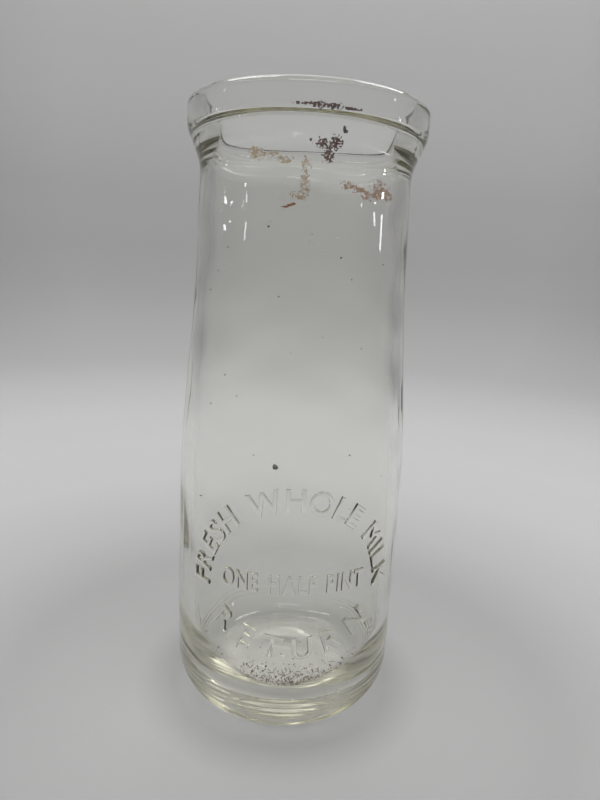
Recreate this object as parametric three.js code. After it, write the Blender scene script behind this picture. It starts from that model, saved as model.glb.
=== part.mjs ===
// Wide-mouth glass milk bottle, half-pint size, closed in use by a waxed card disc.
// Millimetres, +Z up, the origin in the middle of the ring that the bottle stands on, front towards -Y.
// The bottle is one glass moulding. What has dried on the inside of it is modelled as separate deposits.
import * as THREE from "three";

// ---- Driving dimensions ----

// Overall height and the stretches that make it up, from the table upwards.
// The shoulder takes what the others leave.
const bottleHeight = 159;
const bodyHeight = 60;
const neckLength = 13.7;
const lipUndersideHeight = 8.2;
const lipBandHeight = 7.1;

// Body and base
const bodyRadius = 30.5;
const bodyDraft = 0.3;
const bodyWall = 3.1;
const heelWidth = 10;
const heelHeight = 12;
const standingRingWidth = 2.8;
const pushUpDepth = 1.6;
const floorThickness = 9;
const floorCornerWidth = 7.5;
const floorCornerHeight = 18;

// Mouth: a round recess for the card disc, and the ledge that the disc rests on
const discRadius = 25.9;
const discClearance = 0.2;
const seatDepth = 6;
const ledgeWidth = 2.6;
const ledgeEdgeRadius = 0.8;
const mouthEdgeRadius = 1.2;

// Neck and lip
const neckWall = 3.1;
const neckDraft = 0.4;
const lipWall = 3.9;
const lipEdgeRadius = 2.2;

// Deposits on the inside of the glass, and the gap that keeps them off it
const depositGap = 0.3;
const rustThickness = 0.5;
const scumThickness = 0.35;
const sedimentThickness = 0.6;

// Facets
const turnSteps = 60;
const arcStepDegrees = 18;
const shoulderSteps = 10;
const outlineSteps = 24;

// ---- Values worked out from the sizes above ----

const seatRadius = discRadius + discClearance;
const throatRadius = seatRadius - ledgeWidth;
const neckRadius = throatRadius + neckWall;
const lipRadius = seatRadius + lipWall;
const lipEdge = Math.min(lipEdgeRadius, lipWall - mouthEdgeRadius);
const bodyBore = bodyRadius - bodyWall;
const standingRingRadius = bodyRadius - bodyDraft - heelWidth;

const seatHeight = bottleHeight - seatDepth;
const lipBandFoot = bottleHeight - lipBandHeight;
const neckTop = lipBandFoot - lipUndersideHeight;
const neckFoot = neckTop - neckLength;

// ---- Bottle ----

// Points of an elliptical arc about (r, z). Angles are in degrees, from outwards (0) towards up (90).
function arc(r, z, width, height, fromDegrees, toDegrees) {
  const steps = Math.ceil(Math.abs(toDegrees - fromDegrees) / arcStepDegrees);
  const points = [];
  for (let i = 0; i <= steps; i++) {
    const angle = THREE.MathUtils.degToRad(fromDegrees + ((toDegrees - fromDegrees) * i) / steps);
    points.push(new THREE.Vector2(r + width * Math.cos(angle), z + height * Math.sin(angle)));
  }
  return points;
}

// Points of the long S of the shoulder, from one radius and height to another, both ends upright.
function shoulder(fromRadius, fromHeight, toRadius, toHeight) {
  const points = [];
  for (let i = 0; i <= shoulderSteps; i++) {
    const along = i / shoulderSteps;
    const eased = (1 - Math.cos(Math.PI * along)) / 2;
    points.push(
      new THREE.Vector2(
        THREE.MathUtils.lerp(fromRadius, toRadius, eased),
        THREE.MathUtils.lerp(fromHeight, toHeight, along),
      ),
    );
  }
  return points;
}

// Underside: a shallow dome up from the ring that the bottle stands on.
function undersideProfile() {
  const domeRadius = standingRingRadius - standingRingWidth;
  return [
    ...arc(0, 0, domeRadius, pushUpDepth, 90, 0),
    new THREE.Vector2(standingRingRadius, 0),
  ];
}

// Outside, from the standing ring up to the top of the lip.
function outsideProfile() {
  const heelRadius = bodyRadius - bodyDraft;
  return [
    ...arc(heelRadius - heelWidth, heelHeight, heelWidth, heelHeight, -90, 0).slice(1),
    ...shoulder(bodyRadius, bodyHeight, neckRadius + neckDraft, neckFoot),
    new THREE.Vector2(neckRadius, neckTop),
    new THREE.Vector2(lipRadius, lipBandFoot),
    ...arc(lipRadius - lipEdge, bottleHeight - lipEdge, lipEdge, lipEdge, 0, 90),
  ];
}

// Inside, from the top of the lip down over the disc ledge to the middle of the floor.
function insideProfile() {
  const mouthEdge = seatRadius + mouthEdgeRadius;
  const ledgeEdge = throatRadius + ledgeEdgeRadius;
  return [
    ...arc(mouthEdge, bottleHeight - mouthEdgeRadius, mouthEdgeRadius, mouthEdgeRadius, 90, 180),
    new THREE.Vector2(seatRadius, seatHeight),
    ...arc(ledgeEdge, seatHeight - ledgeEdgeRadius, ledgeEdgeRadius, ledgeEdgeRadius, 90, 180),
    new THREE.Vector2(throatRadius, neckTop),
    ...shoulder(throatRadius + neckDraft, neckFoot, bodyBore, bodyHeight),
    ...arc(
      bodyBore - bodyDraft - floorCornerWidth,
      floorThickness + floorCornerHeight,
      floorCornerWidth,
      floorCornerHeight,
      0,
      -90,
    ),
    new THREE.Vector2(0, floorThickness),
  ];
}

// LatheGeometry turns a profile about Y, so the solid is stood up to turn about Z.
function turned(profile) {
  return new THREE.LatheGeometry(profile, turnSteps).rotateX(Math.PI / 2);
}

const glass = new THREE.MeshStandardMaterial({
  color: 0xc3c9b8,
  roughness: 0.04,
  metalness: 0,
  transparent: true,
  opacity: 0.35,
});

const bottleProfile = [...undersideProfile(), ...outsideProfile(), ...insideProfile()];
const bottle = new THREE.Mesh(turned(bottleProfile), glass);
bottle.name = "bottle_glass";

// ---- Deposits ----

const rust = new THREE.MeshStandardMaterial({ color: 0x3a1a12, roughness: 0.85, metalness: 0 });
const scum = new THREE.MeshStandardMaterial({ color: 0xa9905a, roughness: 0.7, metalness: 0 });
const sediment = new THREE.MeshStandardMaterial({ color: 0x4a4032, roughness: 0.9, metalness: 0 });

// Radius of the bore at a height between the ledge and the body.
function boreAt(height) {
  const profile = insideProfile();
  const above = profile.findLastIndex((point) => point.y >= height);
  const [high, low] = [profile[above], profile[above + 1]];
  return THREE.MathUtils.mapLinear(height, low.y, high.y, low.x, high.x);
}

// Closed outline of a patch with a wavy edge, about its own middle.
function patchOutline(width, height, lobes, waviness) {
  const outline = new THREE.Shape();
  for (let i = 0; i < outlineSteps; i++) {
    const angle = (2 * Math.PI * i) / outlineSteps;
    const reach = (1 + waviness * Math.cos(lobes * angle)) / (1 + waviness) / 2;
    const point = [width * reach * Math.cos(angle), height * reach * Math.sin(angle)];
    if (i === 0) outline.moveTo(...point);
    else outline.lineTo(...point);
  }
  outline.closePath();
  return outline;
}

// A patch stuck to the bore. Its place is an angle from the front, positive towards +X, and a distance
// below the disc ledge.
function wallPatch(name, material, thickness, { angle, below, width, height, lobes, waviness }) {
  const outline = patchOutline(width, height, lobes, waviness);
  const geometry = new THREE.ExtrudeGeometry(outline, { depth: thickness, bevelEnabled: false });
  const middle = THREE.MathUtils.degToRad(angle);
  const position = geometry.getAttribute("position");
  for (let i = 0; i < position.count; i++) {
    const z = seatHeight - below + position.getY(i);
    const turn = middle + position.getX(i) / throatRadius;
    const r = boreAt(z) - depositGap - thickness + position.getZ(i);
    position.setXYZ(i, r * Math.sin(turn), -r * Math.cos(turn), z);
  }
  geometry.computeVertexNormals();
  const mesh = new THREE.Mesh(geometry, material);
  mesh.name = name;
  return mesh;
}

// A flat crescent lying on a level face, between two radii and two angles from the front.
function crescent(name, material, thickness, { innerRadius, outerRadius, fromAngle, toAngle, level }) {
  const from = THREE.MathUtils.degToRad(fromAngle - 90);
  const to = THREE.MathUtils.degToRad(toAngle - 90);
  const outline = new THREE.Shape();
  outline.absarc(0, 0, outerRadius, from, to, false);
  outline.absarc(0, 0, innerRadius, to, from, true);
  outline.closePath();
  const geometry = new THREE.ExtrudeGeometry(outline, { depth: thickness, bevelEnabled: false });
  const mesh = new THREE.Mesh(geometry, material);
  mesh.name = name;
  mesh.position.z = level + depositGap;
  return mesh;
}

const rustPatches = {
  neck_rust_flake: { angle: 12, below: 7, width: 5, height: 5, lobes: 3, waviness: 0.3 },
  neck_rust_chip: { angle: 19, below: 3, width: 1.3, height: 1.7, lobes: 2, waviness: 0.1 },
  neck_orange_flake: { angle: -7.5, below: 20, width: 1.2, height: 1.6, lobes: 3, waviness: 0.1 },
};
const scumPatches = {
  neck_scum_left: { angle: -20, below: 8.8, width: 8.5, height: 3.6, lobes: 4, waviness: 0.15 },
  neck_scum_trail: { angle: 0.5, below: 14.5, width: 2.6, height: 9, lobes: 5, waviness: 0.12 },
  neck_scum_right: { angle: 37, below: 15.5, width: 13, height: 4.5, lobes: 6, waviness: 0.12 },
};

const ledgeSmear = crescent("ledge_rust_smear", rust, scumThickness, {
  innerRadius: throatRadius + ledgeEdgeRadius,
  outerRadius: seatRadius - depositGap,
  fromAngle: -2,
  toAngle: 19,
  level: seatHeight,
});

const sedimentOuter = bodyBore - bodyDraft - floorCornerWidth;
const sedimentWidth = 4.5;
const floorSediment = crescent("base_sediment", sediment, sedimentThickness, {
  innerRadius: sedimentOuter - sedimentWidth,
  outerRadius: sedimentOuter,
  fromAngle: -34,
  toAngle: 46,
  level: floorThickness,
});

// ---- The whole bottle ----

const milkBottle = new THREE.Group();
milkBottle.add(bottle, ledgeSmear, floorSediment);
for (const [name, place] of Object.entries(rustPatches)) {
  milkBottle.add(wallPatch(name, rust, rustThickness, place));
}
for (const [name, place] of Object.entries(scumPatches)) {
  milkBottle.add(wallPatch(name, scum, scumThickness, place));
}

export default milkBottle;
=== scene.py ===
"""Half-pint glass milk bottle with a wide disc-closure mouth, empty and unwashed."""

import bmesh
import bpy
import numpy as np
from mathutils import Matrix, Vector, noise


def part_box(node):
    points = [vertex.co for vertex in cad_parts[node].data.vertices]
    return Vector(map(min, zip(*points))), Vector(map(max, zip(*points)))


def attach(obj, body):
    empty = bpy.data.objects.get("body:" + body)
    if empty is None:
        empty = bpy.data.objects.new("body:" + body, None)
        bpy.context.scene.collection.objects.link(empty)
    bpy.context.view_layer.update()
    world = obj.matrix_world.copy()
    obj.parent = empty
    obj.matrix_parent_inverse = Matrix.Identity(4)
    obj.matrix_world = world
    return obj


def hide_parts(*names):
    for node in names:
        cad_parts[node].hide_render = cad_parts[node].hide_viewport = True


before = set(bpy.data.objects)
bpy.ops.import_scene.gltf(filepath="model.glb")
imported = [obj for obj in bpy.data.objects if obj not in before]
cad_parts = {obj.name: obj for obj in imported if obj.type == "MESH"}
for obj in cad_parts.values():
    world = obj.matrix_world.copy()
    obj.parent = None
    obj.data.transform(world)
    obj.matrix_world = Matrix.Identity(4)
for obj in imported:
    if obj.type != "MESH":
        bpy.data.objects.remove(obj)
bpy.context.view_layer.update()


# ---- Camera ----
# Staging, not a piece of the bottle: a phone held close in front of it, a little above its middle, tilted
# down and slightly turned.

MM = 0.001

camera_data = bpy.data.cameras.new("camera")
camera_data.sensor_width = 36
camera_data.lens = 28.85
camera = bpy.data.objects.new("camera", camera_data)
bpy.context.scene.collection.objects.link(camera)
bpy.context.scene.camera = camera

camera_place = Vector((1.5 * MM, -172 * MM, 121.3 * MM))
camera_down_tilt = 12.24
camera_pitch = np.radians(90 - camera_down_tilt)
camera_roll = np.radians(3.0)
camera.matrix_world = (
    Matrix.Translation(camera_place)
    @ Matrix.Rotation(camera_pitch, 4, "X")
    @ Matrix.Rotation(camera_roll, 4, "Z")
)
camera_data.clip_start = 1 * MM


# ---- Studio ----
# Staging, not a piece of the bottle: a pale fabric light tent with a round floor that curves up into the
# wall all round, open at the top. Soft panels stand above it and small lamps at its sides.


class Wire:
    """One socket of a material's nodes. Operators on it add Math nodes."""

    def __init__(self, shader, socket):
        self.shader = shader
        self.socket = socket

    def _math(self, operation, *values):
        return self.shader.node("ShaderNodeMath", {"operation": operation}, values)

    def __add__(self, other):
        return self._math("ADD", self, other)

    def __radd__(self, other):
        return self._math("ADD", other, self)

    def __sub__(self, other):
        return self._math("SUBTRACT", self, other)

    def __rsub__(self, other):
        return self._math("SUBTRACT", other, self)

    def __mul__(self, other):
        return self._math("MULTIPLY", self, other)

    def __rmul__(self, other):
        return self._math("MULTIPLY", other, self)

    def __truediv__(self, other):
        return self._math("DIVIDE", self, other)

    def __rtruediv__(self, other):
        return self._math("DIVIDE", other, self)


class Shader:
    """A new material with one Principled surface, whose plain values are given by socket name."""

    def __init__(self, name, **plain):
        self.material = bpy.data.materials.new(name)
        self.material.use_nodes = True
        self.tree = self.material.node_tree
        self.surface = self.tree.nodes["Principled BSDF"]
        for socket, value in plain.items():
            self.surface.inputs[socket.replace("_", " ")].default_value = value

    def node(self, kind, settings=None, inputs=(), output=0):
        """Adds a node: its settings first, then its sockets by place or by name."""
        made = self.tree.nodes.new(kind)
        for name, value in (settings or {}).items():
            if name == "stops":
                self._stops(made.color_ramp, value)
            else:
                setattr(made, name, value)
        pairs = inputs.items() if isinstance(inputs, dict) else enumerate(inputs)
        for key, value in pairs:
            if isinstance(value, Wire):
                self.tree.links.new(value.socket, made.inputs[key])
            else:
                made.inputs[key].default_value = value
        return Wire(self, made.outputs[output])

    def _stops(self, ramp, stops):
        while len(ramp.elements) < len(stops):
            ramp.elements.new(1)
        for element, (place, colour) in zip(ramp.elements, stops):
            element.position = place
            element.color = (*colour, 1) if len(colour) == 3 else colour

    def feed(self, socket, wire):
        self.tree.links.new(wire.socket, self.surface.inputs[socket])


def grey(level):
    return (level, level, level)


def object_from(name, verts, faces, material):
    mesh = bpy.data.meshes.new(name)
    mesh.from_pydata(verts, [], faces)
    mesh.polygons.foreach_set("use_smooth", [True] * len(mesh.polygons))
    mesh.materials.append(material)
    mesh.update()
    made = bpy.data.objects.new(name, mesh)
    bpy.context.scene.collection.objects.link(made)
    return made


def turned_faces(rings, steps):
    """Quads between neighbouring rings of a turned surface that stays open at both ends."""
    ring, step = np.meshgrid(np.arange(rings - 1), np.arange(steps), indexing="ij")
    a = ring * steps + step
    b = ring * steps + (step + 1) % steps
    return np.stack([a, b, b + steps, a + steps], axis=-1).reshape(-1, 4)


floor_reach = 0.25
cove_radius = 0.35
wall_height = 0.75
tent_steps = 96
floor_rings = 12
floor_middle = 0.0005

cove_turn = np.linspace(-np.pi / 2, 0, 25)
tent_r = np.concatenate([
    np.linspace(floor_middle, floor_reach, floor_rings),
    floor_reach + cove_radius * np.cos(cove_turn[1:]),
    [floor_reach + cove_radius],
])
tent_z = np.concatenate([
    np.zeros(floor_rings),
    cove_radius + cove_radius * np.sin(cove_turn[1:]),
    [wall_height],
])
tent_angle = np.linspace(0, 2 * np.pi, tent_steps, endpoint=False)
tent_points = np.stack(
    [
        np.outer(tent_r, np.cos(tent_angle)),
        np.outer(tent_r, np.sin(tent_angle)),
        np.repeat(tent_z[:, None], tent_steps, axis=1),
    ],
    axis=-1,
)

# The fabric's grey, by the distance out along the floor plus the height, is painted light and shade: a
# painted contact shadow darkens it where the bottle stands, and painted shade darkens it again up the wall.
tent_painted_light_tones = [
    (0.0, 0.41), (0.016, 0.42), (0.023, 0.33), (0.031, 0.34), (0.042, 0.455), (0.06, 0.45), (0.08, 0.43),
    (0.12, 0.53), (0.18, 0.615), (0.25, 0.65), (0.32, 0.635), (0.38, 0.57), (0.43, 0.49), (0.5, 0.45),
    (0.58, 0.395), (0.65, 0.38), (0.75, 0.405), (1.0, 0.585),
]
tent_reach = 1.0

fabric = Shader("tent_fabric", Roughness=0.9)
place = fabric.node("ShaderNodeNewGeometry", output="Position")
across = fabric.node("ShaderNodeVectorMath", {"operation": "MULTIPLY"}, [place, (1, 1, 0)])
out = fabric.node("ShaderNodeVectorMath", {"operation": "LENGTH"}, [across], output="Value")
up = fabric.node("ShaderNodeSeparateXYZ", inputs=[place], output="Z")
painted_light_tone = fabric.node(
    "ShaderNodeValToRGB",
    {"stops": [(at, grey(level)) for at, level in tent_painted_light_tones]},
    [(out + up) / tent_reach],
)

# Painted shade also dips the wall's tone either side of the back, and painted light brightens it towards the
# front, by the bearing from straight behind the bottle, in degrees.
side = fabric.node("ShaderNodeSeparateXYZ", inputs=[place])
ahead = fabric.node("ShaderNodeSeparateXYZ", inputs=[place], output="Y")
bearing = fabric.node("ShaderNodeMath", {"operation": "ARCTAN2"}, [side, ahead])
from_behind = fabric.node("ShaderNodeMath", {"operation": "ABSOLUTE"}, [bearing]) / np.pi
round_painted_shade_tones = [(0, 0.5), (26, 0.5), (44, 0.41), (62, 0.41), (90, 0.5), (120, 0.72), (180, 0.72)]
round_painted_shade = fabric.node(
    "ShaderNodeValToRGB", {"stops": [(at / 180, grey(level)) for at, level in round_painted_shade_tones]}, [from_behind]
)
wall_from, wall_full = 0.36, 0.46
far_part = fabric.node("ShaderNodeMapRange", inputs=[out, wall_from, wall_full, 0.0, 1.0])
factor = 1 + far_part * (round_painted_shade * 2 - 1)
shaded = fabric.node("ShaderNodeVectorMath", {"operation": "SCALE"}, {0: painted_light_tone, 3: factor})
fabric.feed("Base Color", shaded)
tent = object_from(
    "light_tent",
    tent_points.reshape(-1, 3).tolist(),
    turned_faces(len(tent_r), tent_steps).tolist(),
    fabric.material,
)
below_bottle = 0.05 * MM
tent.location.z = -below_bottle

world = bpy.data.worlds.new("tent_top")
world.use_nodes = True
world.node_tree.nodes["Background"].inputs["Color"].default_value = (1, 1, 1, 1)
world.node_tree.nodes["Background"].inputs["Strength"].default_value = 0.9
bpy.context.scene.world = world
bpy.context.scene.view_settings.view_transform = "Standard"

# Light goes to and fro many times inside thick clear glass before it leaves.
glass_bounces = 32
for kind in ("max_bounces", "transmission_bounces", "glossy_bounces"):
    setattr(bpy.context.scene.cycles, kind, glass_bounces)


def panel(name, place, size, brightness, aim=(0, 0, 0.08)):
    """A soft light of even brightness that the camera doesn't see directly."""
    light = bpy.data.lights.new(name, "AREA")
    light.shape = "RECTANGLE"
    light.size, light.size_y = size
    light.energy = brightness * np.pi * size[0] * size[1]
    lamp = bpy.data.objects.new(name, light)
    lamp.location = place
    lamp.rotation_euler = (Vector(aim) - Vector(place)).to_track_quat("-Z", "Y").to_euler()
    lamp.visible_camera = False
    bpy.context.scene.collection.objects.link(lamp)


panel("left_panel", (-0.22, 0.12, 0.62), (0.14, 0.25), 6.0)
panel("right_panel", (0.28, 0.2, 0.62), (0.16, 0.25), 6.0)
panel("front_panel", (0.02, -0.3, 0.55), (0.3, 0.12), 2.0)
upper_body = (0, 0, 0.13)
panel("right_lamp_high", (0.5, -0.02, 0.2056), (0.03, 0.006), 25.0, upper_body)
panel("right_lamp_low", (0.5, -0.02, 0.167), (0.022, 0.036), 11.0, upper_body)
panel("left_lamp_high", (-0.5, -0.02, 0.193), (0.03, 0.004), 16.0, upper_body)
panel("left_lamp_low", (-0.5, -0.02, 0.158), (0.03, 0.004), 12.0, upper_body)


# ---- Bottle glass ----
# The bottle itself, one pressed-and-blown moulding of soda-lime glass with a faint tint that shows where
# it is thick. The outside took its shape from the mould, the inside was blown, so it is the wavier.

_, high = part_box("bottle_glass")
bottle_height = high.z
body_radius = high.x

body_height = 60 * MM
neck_length = 13.7 * MM
lip_underside_height = 8.2 * MM
lip_band_height = 7.1 * MM
body_draft = 0.3 * MM
body_wall = 3.1 * MM
heel_width = 10 * MM
heel_height = 12 * MM
full_width_height = 18 * MM
ring_width = 2.8 * MM
push_up_depth = 1.6 * MM
floor_thickness = 9 * MM
corner_width = 7.5 * MM
corner_height = 18 * MM
cavity_shift = 0.7 * MM
cavity_shift_ends = 90 * MM
seat_radius = 26.1 * MM
seat_depth = 6 * MM
ledge_width = 2.6 * MM
ledge_edge = 0.8 * MM
mouth_edge = 1.2 * MM
neck_wall = 3.1 * MM
neck_draft = 0.4 * MM
lip_wall = 3.9 * MM
lip_edge = 2.2 * MM
neck_softening = 2.6 * MM
lip_softening = 1.4 * MM

throat_radius = seat_radius - ledge_width
neck_radius = throat_radius + neck_wall
lip_radius = seat_radius + lip_wall
body_bore = body_radius - body_wall
seat_height = bottle_height - seat_depth
lip_band_foot = bottle_height - lip_band_height
neck_top = lip_band_foot - lip_underside_height
neck_foot = neck_top - neck_length
standing_radius = body_radius - body_draft - heel_width


def arc(r, z, width, height, start, end, steps):
    turn = np.radians(np.linspace(start, end, steps + 1))
    return np.stack([r + width * np.cos(turn), z + height * np.sin(turn)], axis=1)


def line(start, end, steps):
    return np.linspace(start, end, steps + 1)


def shoulder(start, end, steps):
    along = np.linspace(0, 1, steps + 1)
    eased = (1 - np.cos(np.pi * along)) / 2
    return np.stack(
        [start[0] + (end[0] - start[0]) * eased, start[1] + (end[1] - start[1]) * along], axis=1
    )


def joined(*stretches):
    """One outline from stretches that meet, without repeating the points where they do."""
    points = [stretches[0]]
    for stretch in stretches[1:]:
        same = np.allclose(points[-1][-1], stretch[0], atol=1e-7)
        points.append(stretch[1:] if same else stretch)
    return np.concatenate(points)


def softened(before, corner, after, reach, steps):
    """A short curve in place of a corner, starting and ending that far from it."""
    before, corner, after = (np.array(point) for point in (before, corner, after))
    start = corner + (before - corner) / np.linalg.norm(before - corner) * reach
    end = corner + (after - corner) / np.linalg.norm(after - corner) * reach
    t = np.linspace(0, 1, steps + 1)[:, None]
    return (1 - t) ** 2 * start + 2 * t * (1 - t) * corner + t**2 * end


neck_low = (neck_radius + neck_draft, neck_foot)
neck_high = (neck_radius, neck_top)
lip_low = (lip_radius, lip_band_foot)
lip_high = (lip_radius, bottle_height - lip_edge)
underside_hole = 0.01
dome_along = np.linspace(underside_hole, 1, 24)
dome_height = push_up_depth * (1 + np.cos(np.pi * dome_along)) / 2
outside = joined(
    np.stack([(standing_radius - ring_width) * dome_along, dome_height], axis=1),
    line((standing_radius - ring_width, 0), (standing_radius, 0), 3),
    arc(standing_radius, heel_height, heel_width, heel_height, -90, 0, 40),
    line((body_radius - body_draft, heel_height), (body_radius, full_width_height), 16),
    line((body_radius, full_width_height), (body_radius, body_height), 26),
    shoulder((body_radius, body_height), (neck_radius + neck_draft, neck_foot), 40),
    line(neck_low, neck_high, 8)[:-1],
    softened(neck_low, neck_high, lip_low, neck_softening, 12),
    softened(neck_high, lip_low, lip_high, lip_softening, 8),
    arc(lip_radius - lip_edge, bottle_height - lip_edge, lip_edge, lip_edge, 0, 90, 12),
)
floor_radius = body_bore - body_draft - corner_width
floor_step = 0.4 * MM
step_radius = 15 * MM
step_width = 1.2 * MM
floor_hole = 0.3 * MM
floor_r = np.linspace(floor_radius, floor_hole, 60)
floor_z = floor_thickness - floor_step * (1 + np.tanh((step_radius - floor_r) / step_width)) / 2

inside = joined(
    arc(seat_radius + mouth_edge, bottle_height - mouth_edge, mouth_edge, mouth_edge, 90, 180, 10),
    line((seat_radius, bottle_height - mouth_edge), (seat_radius, seat_height), 6),
    line((seat_radius, seat_height), (throat_radius + ledge_edge, seat_height), 4),
    arc(throat_radius + ledge_edge, seat_height - ledge_edge, ledge_edge, ledge_edge, 90, 180, 8),
    line((throat_radius, seat_height - ledge_edge), (throat_radius, neck_top), 8),
    line((throat_radius, neck_top), (throat_radius + neck_draft, neck_foot), 8),
    shoulder((throat_radius + neck_draft, neck_foot), (body_bore, body_height), 40),
    line((body_bore, body_height), (body_bore - body_draft, floor_thickness + corner_height), 12),
    arc(floor_radius, floor_thickness + corner_height, corner_width, corner_height, 0, -90, 40),
    np.stack([floor_r, floor_z], axis=1),
)

glass_steps = 224
outside_wave = 0.035 * MM
inside_wave = 0.1 * MM
seam_height = 0.1 * MM
seam_width = np.radians(1.2)
swells = 14
random = np.random.default_rng(7)


def shift_at(z):
    """How far the inside stands off centre at a height. Most at the bottom."""
    return cavity_shift * np.clip(1 - z / cavity_shift_ends, 0, 1)


def waviness(turn, z, size):
    """Slow swells of blown glass. Most stay within twice the size given."""
    swell = np.zeros_like(turn)
    for _ in range(swells):
        round_count = random.integers(1, 7)
        up_length = random.uniform(14, 45) * MM
        phase = random.uniform(0, 2 * np.pi)
        lean = random.choice([-1, 1])
        swell += np.cos(round_count * turn + lean * 2 * np.pi * z / up_length + phase)
    return size * swell / np.sqrt(swells)


# Low rings that the mould left in the heel.
ripple_depth = 0.09 * MM
ripple_spacing = 1.5 * MM
ripple_middle = 10.4 * MM
ripple_reach = 2.4 * MM
ripple_fade = np.exp(-(((outside[:, 1] - ripple_middle) / ripple_reach) ** 2))
outside[:, 0] += ripple_depth * ripple_fade * np.sin(2 * np.pi * outside[:, 1] / ripple_spacing)

profile = np.concatenate([outside, inside])
angle = np.linspace(0, 2 * np.pi, glass_steps, endpoint=False)
r, turn = np.meshgrid(profile[:, 0], angle, indexing="ij")
z = np.repeat(profile[:, 1][:, None], glass_steps, axis=1)
is_outside = (np.arange(len(profile)) < len(outside))[:, None]

# How much of the waviness there is: none at the axis, the standing ring and the rim.
wavy = np.clip((r - 12 * MM) / (8 * MM), 0, 1) * np.clip(z / (6 * MM), 0, 1)
wavy *= np.clip((bottle_height - z) / (10 * MM), 0, 1)
r = r + wavy * np.where(is_outside, waviness(turn, z, outside_wave), waviness(turn, z, inside_wave))
off_seam = np.minimum(abs(turn - np.pi / 2), abs(turn - 3 * np.pi / 2))
r = r + is_outside * wavy * seam_height * np.exp(-((off_seam / seam_width) ** 2))
shift = ~is_outside * shift_at(z)
points = np.stack([r * np.sin(turn) + shift, -r * np.cos(turn), z], axis=-1).reshape(-1, 3)
faces = turned_faces(len(profile), glass_steps).tolist()
last_ring = (len(profile) - 1) * glass_steps
faces.append(list(range(glass_steps))[::-1])
faces.append([last_ring + i for i in range(glass_steps)])

# The words stand out from the mould. Each letter is bent round the body and joined to the wall.

letter_relief = 0.6 * MM
letter_root = 1.0 * MM
letter_rounding = 0.42 * MM
letter_slimming = 0.2 * MM
cap_height_per_size = 0.73
space_width = 0.45
words_angle = np.radians(4.5)


def evaluated_mesh(source):
    """A new mesh of an object as it stands after its curve settings and modifiers."""
    bpy.context.view_layer.update()
    return bpy.data.meshes.new_from_object(source.evaluated_get(bpy.context.evaluated_depsgraph_get()))


def glyph(letter, cap_height, squeeze):
    """One letter as a closed mesh lying flat about its own middle, and its width. A space has no mesh."""
    font_curve = bpy.data.curves.new("glyph", "FONT")
    font_curve.body = letter
    font_curve.size = cap_height / cap_height_per_size
    font_curve.extrude = (letter_relief + letter_root) / 2 - letter_rounding
    font_curve.bevel_depth = letter_rounding
    font_curve.bevel_resolution = 2
    font_curve.offset = -letter_slimming
    font_curve.resolution_u = 6
    holder = bpy.data.objects.new("glyph", font_curve)
    bpy.context.scene.collection.objects.link(holder)
    solid = evaluated_mesh(holder)
    bpy.data.objects.remove(holder)
    if not solid.vertices:
        return None, cap_height * space_width * squeeze
    shape = bmesh.new()
    shape.from_mesh(solid)
    bmesh.ops.remove_doubles(shape, verts=shape.verts, dist=0.002 * MM)
    bmesh.ops.triangulate(shape, faces=shape.faces)
    bmesh.ops.recalc_face_normals(shape, faces=shape.faces)
    left = min(v.co.x for v in shape.verts)
    right = max(v.co.x for v in shape.verts)
    for v in shape.verts:
        v.co.x = (v.co.x - (left + right) / 2) * squeeze
        v.co.y -= cap_height / 2
    return shape, (right - left) * squeeze


def bent(shape, along, height, lean, wall):
    """Moves a flat letter to its place, a distance round the wall and a height, and bends it on."""
    for v in shape.verts:
        x, y, depth = v.co
        s = along + x * np.cos(lean) - y * np.sin(lean)
        z = height + x * np.sin(lean) + y * np.cos(lean)
        r = wall(z) + depth + (letter_relief - letter_root) / 2
        turn = words_angle + s / body_radius
        v.co = (r * np.sin(turn), -r * np.cos(turn), z)


above_ring = 30


def outer_wall(z):
    """Outside radius at a height, from the outline's points above the standing ring."""
    return np.interp(z, outside[above_ring:, 1], outside[above_ring:, 0])


def write(words, cap_height, gap, place, squeeze=1.0):
    """Lays out words along a path. place(d) gives the point and lean at a distance from the middle."""
    glyphs = [glyph(letter, cap_height, squeeze) for letter in words]
    length = sum(width for _, width in glyphs) + gap * (len(words) - 1)
    at = -length / 2
    made = []
    for shape, width in glyphs:
        if shape:
            bent(shape, *place(at + width / 2), outer_wall)
            made.append(shape)
        at += width + gap
    return made


def over(radius, centre):
    """A path over the top of a circle, read from left to right."""
    def place(d):
        turn = d / radius
        return radius * np.sin(turn), centre + radius * np.cos(turn), -turn
    return place


def under(radius, centre):
    """A path along the bottom of a circle, read from left to right."""
    def place(d):
        turn = d / radius
        return radius * np.sin(turn), centre - radius * np.cos(turn), turn
    return place


def straight(height):
    return lambda d: (d, height, 0)


letters = write("FRESH WHOLE MILK", 5.8 * MM, 1.0 * MM, over(25.5 * MM, 41 * MM), 0.95)
letters += write("ONE HALF PINT", 4.7 * MM, 0.55 * MM, straight(45 * MM), 0.68)
letters += write("RETURN", 6.0 * MM, 2.4 * MM, under(30 * MM, 58 * MM))


def union(body, parts):
    """Joins closed meshes to a body."""
    together = bmesh.new()
    for part in parts:
        copied = bpy.data.meshes.new("part")
        part.to_mesh(copied)
        together.from_mesh(copied)
        bpy.data.meshes.remove(copied)
    tool_mesh = bpy.data.meshes.new("tool")
    together.to_mesh(tool_mesh)
    tool = bpy.data.objects.new("tool", tool_mesh)
    bpy.context.scene.collection.objects.link(tool)
    join = body.modifiers.new("join", "BOOLEAN")
    join.operation = "UNION"
    join.solver = "MANIFOLD"
    join.object = tool
    joined_mesh = evaluated_mesh(body)
    body.modifiers.clear()
    body.data = joined_mesh
    bpy.data.objects.remove(tool)


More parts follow.
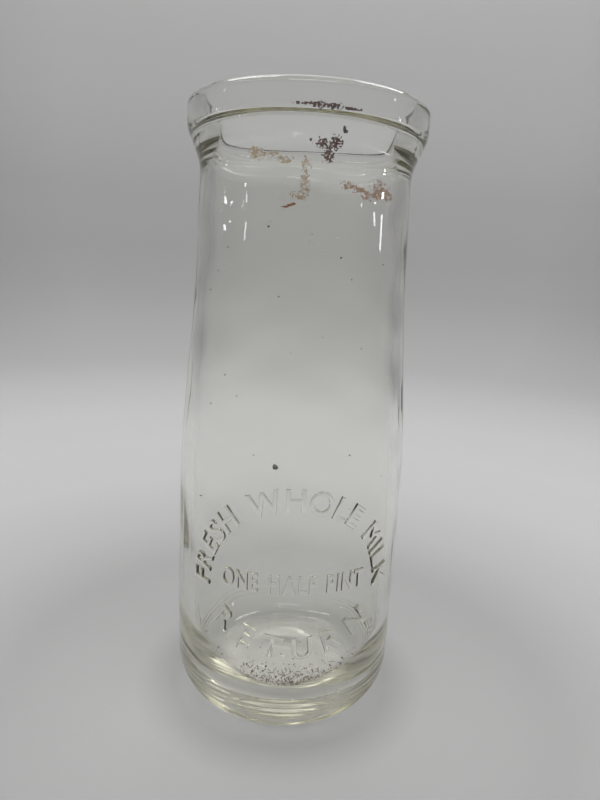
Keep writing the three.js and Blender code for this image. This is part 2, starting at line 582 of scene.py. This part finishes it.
glass = Shader(
    "milk_bottle_glass",
    Base_Color=(0.985, 0.985, 0.97, 1),
    IOR=1.52,
    Transmission_Weight=1.0,
)
where = glass.node("ShaderNodeTexCoord", output="Object")
haze = glass.node("ShaderNodeTexNoise", inputs={"Vector": where, "Scale": 1 / (9 * MM), "Detail": 4.0})
haze_range = {"Value": haze, "From Min": 0.4, "From Max": 0.75, "To Min": 0.0, "To Max": 0.035}
hazy = glass.node("ShaderNodeMapRange", inputs=haze_range)
height = glass.node("ShaderNodeSeparateXYZ", inputs=[where], output="Z")
scuffs_start, scuffs_full, scuff_roughness = 14 * MM, 3 * MM, 0.05
scuffed = glass.node("ShaderNodeMapRange", inputs=[height, scuffs_start, scuffs_full, 0.0, scuff_roughness])
glass.feed("Roughness", hazy + scuffed)
tint = glass.node(
    "ShaderNodeVolumeAbsorption", inputs={"Color": (0.50, 0.48, 0.26, 1), "Density": 10.0}, output="Volume"
)
glass.tree.links.new(tint.socket, glass.tree.nodes["Material Output"].inputs["Volume"])

bottle = object_from("bottle", points.tolist(), faces, glass.material)
union(bottle, letters)
bottle.data.polygons.foreach_set("use_smooth", [True] * len(bottle.data.polygons))
bottle.data.set_sharp_from_angle(angle=np.radians(40))

# Clear glass lets the light through to the floor, and a full shadow would put a dark disc under it.
bottle.visible_shadow = False
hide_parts("bottle_glass")
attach(bottle, "root")


# ---- Rust ----
# Flakes and a smear of dark red-brown rust and one chip of grey grime, brittle, dried on to the inside of
# the neck and the seat of the card disc. Each is a ragged crust with a broken edge.

film_gap = 0.05 * MM
thinnest = 0.02 * MM


def inner_wall(z):
    """Inside radius at a height."""
    return np.interp(z, inside[::-1, 1], inside[::-1, 0])


def crust(name, material, angle, height, islands, cell, thickness, raggedness, grain, seed, wall=inner_wall):
    """Ragged islands stuck to a wall. Each is (across, up, half width, half height) from the middle.

    The islands are sampled on a grid of cells. Noise of a given grain eats at their edges.
    """
    margin = 1.4
    reach_x = max(abs(x) + w for x, _, w, _ in islands) * margin
    reach_y = max(abs(y) + h for _, y, _, h in islands) * margin
    xs = np.arange(-reach_x, reach_x, cell)
    ys = np.arange(-reach_y, reach_y, cell)
    far_outside = -1.5
    solid = np.full((len(xs), len(ys)), -10.0)
    for x, y, w, h in islands:
        part = 1 - ((xs[:, None] - x) / w) ** 2 - ((ys[None, :] - y) / h) ** 2
        solid = np.maximum(solid, part)
    shape = bmesh.new()
    corners = {}
    for i, x in enumerate(xs):
        for j, y in enumerate(ys):
            if solid[i, j] < far_outside:
                continue
            at = Vector((x / grain, y / grain, seed))
            rough = noise.fractal(at, 0.7, 2.1, 5)
            depth = solid[i, j] + raggedness * rough - 0.1
            if depth > 0:
                lumpy = 0.7 + 0.5 * noise.noise(at * 2.7)
                corners[i, j] = thickness * (0.25 + 0.75 * min(depth, 1)) * lumpy
    made = {}
    for (i, j), proud in corners.items():
        z = height + ys[j]
        turn = np.radians(angle) + xs[i] / throat_radius
        r = wall(z) - film_gap - max(proud, thinnest)
        made[i, j] = shape.verts.new((r * np.sin(turn), -r * np.cos(turn), z))
    for i, j in corners:
        ring = [(i, j), (i, j + 1), (i + 1, j + 1), (i + 1, j)]
        if all(key in made for key in ring):
            shape.faces.new([made[key] for key in ring])
    bmesh.ops.delete(shape, geom=[v for v in shape.verts if not v.link_faces], context="VERTS")
    backed = bmesh.ops.extrude_face_region(shape, geom=shape.faces[:])
    for v in backed["geom"]:
        if isinstance(v, bmesh.types.BMVert):
            flat = Vector((v.co.x, v.co.y, 0))
            v.co = flat.normalized() * (wall(v.co.z) - film_gap) + Vector((0, 0, v.co.z))
    bmesh.ops.recalc_face_normals(shape, faces=shape.faces)
    mesh = bpy.data.meshes.new(name)
    shape.to_mesh(mesh)
    mesh.materials.append(material)
    made_object = bpy.data.objects.new(name, mesh)
    bpy.context.scene.collection.objects.link(made_object)
    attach(made_object, "root")
    return made_object


def crust_material(name, grain, dark, light, alpha=None, **plain):
    """Crumbly matter whose colour wanders between two, with a rough broken surface."""
    shader = Shader(name, **plain)
    where = shader.node("ShaderNodeTexCoord", output="Object")
    mottle = shader.node(
        "ShaderNodeTexNoise", inputs={"Vector": where, "Scale": 1 / grain, "Detail": 6.0, "Roughness": 0.65}
    )
    colour = shader.node("ShaderNodeValToRGB", {"stops": [(0.36, dark), (0.64, light)]}, [mottle])
    shader.feed("Base Color", colour)
    bump = shader.node("ShaderNodeBump", inputs={"Strength": 0.6, "Distance": 0.1 * MM, "Height": mottle})
    shader.feed("Normal", bump)
    if alpha:
        thin, thick = alpha
        cover = shader.node(
            "ShaderNodeMapRange",
            inputs={"Value": mottle, "From Min": 0.4, "From Max": 0.62, "To Min": thin, "To Max": thick},
        )
        shader.feed("Alpha", cover)
    return shader.material


rust = crust_material("dried_rust", 0.7 * MM, (0.018, 0.006, 0.005), (0.12, 0.032, 0.015), Roughness=0.85)
grime = crust_material("grey_grime", 0.5 * MM, (0.02, 0.018, 0.015), (0.09, 0.08, 0.065), Roughness=0.8)

flake = crust(
    "neck_flake", rust, 12, 146.0 * MM,
    [
        (-1.6 * MM, 0.9 * MM, 1.3 * MM, 1.3 * MM),
        (1.2 * MM, 1.2 * MM, 1.4 * MM, 1.7 * MM),
        (-0.1 * MM, -1.9 * MM, 1.2 * MM, 1.7 * MM),
        (-0.3 * MM, 0.1 * MM, 1.0 * MM, 0.8 * MM),
    ],
    0.07 * MM, 0.3 * MM, 1.6, 0.5 * MM, 3.0,
)
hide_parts("neck_rust_flake")

chip = crust(
    "neck_chip", grime, 19.2, 150.2 * MM,
    [(-0.15 * MM, 0.3 * MM, 0.4 * MM, 0.55 * MM), (0.15 * MM, -0.3 * MM, 0.55 * MM, 0.5 * MM)],
    0.05 * MM, 0.25 * MM, 0.5, 0.6 * MM, 8.0,
)
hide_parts("neck_rust_chip")

smear = crust(
    "ledge_smear", rust, 8, 153.65 * MM,
    [
        (-1.3 * MM, 0.05 * MM, 1.6 * MM, 0.6 * MM),
        (1.5 * MM, -0.05 * MM, 1.7 * MM, 0.55 * MM),
        (-4.0 * MM, 0.1 * MM, 2.2 * MM, 0.25 * MM),
        (4.5 * MM, -0.2 * MM, 2.4 * MM, 0.25 * MM),
    ],
    0.06 * MM, 0.3 * MM, 1.4, 0.5 * MM, 5.0, wall=lambda z: seat_radius,
)
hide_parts("ledge_rust_smear")

orange = crust_material("orange_rust", 0.5 * MM, (0.16, 0.05, 0.012), (0.42, 0.18, 0.05), Roughness=0.8)
orange_flake = crust(
    "neck_orange_fleck", orange, -7.4, 133.1 * MM,
    [
        (-0.9 * MM, -0.35 * MM, 0.8 * MM, 0.25 * MM),
        (0.2 * MM, 0.05 * MM, 0.8 * MM, 0.35 * MM),
        (0.9 * MM, 0.4 * MM, 0.5 * MM, 0.3 * MM),
    ],
    0.05 * MM, 0.2 * MM, 0.9, 0.6 * MM, 2.0,
)
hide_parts("neck_orange_flake")


# ---- Scum ----
# Thin yellow-brown and rusty tide marks of dried milk and water, left on the inside of the neck and stuck
# to it. They are nearly transparent where they are thin.

scum = crust_material(
    "dried_scum", 0.8 * MM, (0.36, 0.24, 0.07), (0.52, 0.34, 0.11), alpha=(0.02, 0.7), Roughness=0.7
)
tide = crust_material(
    "rusty_scum", 0.7 * MM, (0.26, 0.085, 0.025), (0.48, 0.25, 0.085), alpha=(0.05, 0.9), Roughness=0.7
)

scum_left = crust(
    "neck_scum_a", scum, -20, 143.9 * MM,
    [
        (-2.6 * MM, 0.6 * MM, 2.0 * MM, 1.6 * MM),
        (-0.3 * MM, -0.1 * MM, 2.6 * MM, 1.0 * MM),
        (3.6 * MM, -1.0 * MM, 1.8 * MM, 1.0 * MM),
    ],
    0.09 * MM, 0.12 * MM, 1.4, 1.0 * MM, 11.0,
)
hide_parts("neck_scum_left")

trail = crust(
    "neck_scum_b", scum, 0.5, 138.7 * MM,
    [
        (0.1 * MM, 3.6 * MM, 1.2 * MM, 1.5 * MM),
        (-0.1 * MM, 1.2 * MM, 0.9 * MM, 2.0 * MM),
        (0.0, -1.5 * MM, 1.2 * MM, 1.8 * MM),
        (-1.1 * MM, -3.3 * MM, 1.9 * MM, 1.1 * MM),
    ],
    0.09 * MM, 0.12 * MM, 1.4, 0.9 * MM, 14.0,
)
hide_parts("neck_scum_trail")

scum_right = crust(
    "neck_scum_c", tide, 37, 137.6 * MM,
    [
        (-5.6 * MM, 0.4 * MM, 2.0 * MM, 1.0 * MM),
        (-3.2 * MM, -0.2 * MM, 2.0 * MM, 0.7 * MM),
        (-0.4 * MM, -1.3 * MM, 2.0 * MM, 1.0 * MM),
        (2.6 * MM, 0.3 * MM, 2.6 * MM, 2.3 * MM),
        (5.4 * MM, -0.6 * MM, 1.6 * MM, 1.6 * MM),
    ],
    0.1 * MM, 0.15 * MM, 1.7, 0.8 * MM, 21.0,
)
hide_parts("neck_scum_right")


# ---- Sediment and specks ----
# Dark grit and pale crumbs of milk stone that settled where the floor meets the wall at the front, and
# specks and pale flecks of them up the inside. Every grain is a small broken stone.


def grains(name, material, places):
    """One mesh of many small angular grains, each given by its middle and radius."""
    shape = bmesh.new()
    for middle, size in places:
        stone = bmesh.ops.create_icosphere(shape, subdivisions=1, radius=1.0)
        squash = random.uniform(0.5, 1.0, 3) * size
        turn = Matrix.Rotation(random.uniform(0, 6.3), 3, Vector(random.normal(size=3)).normalized())
        for v in stone["verts"]:
            v.co *= 1 + random.uniform(-0.25, 0.25)
            v.co = turn @ Vector(v.co * Vector(squash)) + Vector(middle)
    mesh = bpy.data.meshes.new(name)
    shape.to_mesh(mesh)
    mesh.materials.append(material)
    made = bpy.data.objects.new(name, mesh)
    bpy.context.scene.collection.objects.link(made)
    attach(made, "root")
    return made


def floor_at(r):
    """Height of the inside floor at a distance from the middle."""
    floor_points = inside[: -len(floor_r) : -1]
    return np.interp(r, floor_points[:, 0], floor_points[:, 1])


def on_wall(angle, z, size):
    """Middle of a grain just off the inside wall, at an angle from the front in degrees."""
    r = inner_wall(z) - film_gap - size
    turn = np.radians(angle)
    return (r * np.sin(turn) + shift_at(z), -r * np.cos(turn), z)


def floor_places(count, smallest, largest):
    """Grains over the front of the floor and the foot of the wall, thickest where the two meet."""
    share_on_wall = 0.45
    found = []
    for _ in range(count):
        size = random.uniform(smallest, largest) * MM
        angle = 7 + np.clip(random.normal(0, 23), -45, 48)
        if random.uniform() < share_on_wall:
            z = floor_thickness + abs(random.normal(0, 5.0)) * MM + 0.3 * MM
            found.append((on_wall(angle, z, size), size))
        else:
            r = floor_radius + 1.5 * MM - abs(random.normal(0, 3.5)) * MM
            turn = np.radians(angle)
            x = r * np.sin(turn) + shift_at(floor_thickness)
            found.append(((x, -r * np.cos(turn), floor_at(r) + film_gap + size), size))
    return found


sediment = crust_material("sediment", 0.4 * MM, (0.02, 0.013, 0.01), (0.16, 0.08, 0.055), Roughness=0.9)
chalk = crust_material("milk_stone", 0.4 * MM, (0.5, 0.42, 0.38), (0.85, 0.8, 0.75), Roughness=0.5)

dark_grit = grains("floor_grit", sediment, floor_places(620, 0.1, 0.32))
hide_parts("base_sediment")
pale_grit = grains("floor_milk_stone", chalk, floor_places(300, 0.1, 0.3))

# Each speck is an angle from the front in degrees, a height and a size in millimetres. A few stand alone
# near the neck, many lie low on the wall, and the rest are scattered.
specks = [(-18, 128.4, 0.32), (-17, 129.5, 0.16), (21.8, 122.4, 0.3), (2.1, 147.7, 0.38), (3, 146.9, 0.14)]
for _ in range(90):
    specks.append((random.uniform(-50, 55), random.uniform(13, 30), random.uniform(0.1, 0.26)))
for _ in range(32):
    specks.append((random.uniform(-70, 70), random.uniform(55, 135), random.uniform(0.12, 0.24)))
wall_specks = grains(
    "wall_specks", sediment, [(on_wall(a, z * MM, size * MM), size * MM) for a, z, size in specks]
)

blobs = [
    (9.6, 124.6, 0.34), (10.6, 124.0, 0.26), (4.6, 126.2, 0.2), (3.6, 125.6, 0.24), (9, 104, 0.2),
    (-22, 96, 0.18),
]
wall_blobs = grains(
    "wall_blobs", chalk, [(on_wall(a, z * MM, size * MM), size * MM) for a, z, size in blobs]
)


# ---- Stone in the glass ----
# A small grey lump of batch that didn't melt, left in the thickness of the wall when the bottle was made
# and held there by the glass.

stone_angle = np.radians(-6.8)
stone_height = 74 * MM
stone_radius = 29.0 * MM
stone_size = 0.85 * MM
stone_middle = (stone_radius * np.sin(stone_angle), -stone_radius * np.cos(stone_angle), stone_height)
stone_grey = crust_material("stone_in_glass", 0.4 * MM, (0.13, 0.12, 0.10), (0.26, 0.24, 0.21), Roughness=0.7)
stone = grains("glass_stone", stone_grey, [(stone_middle, stone_size)])
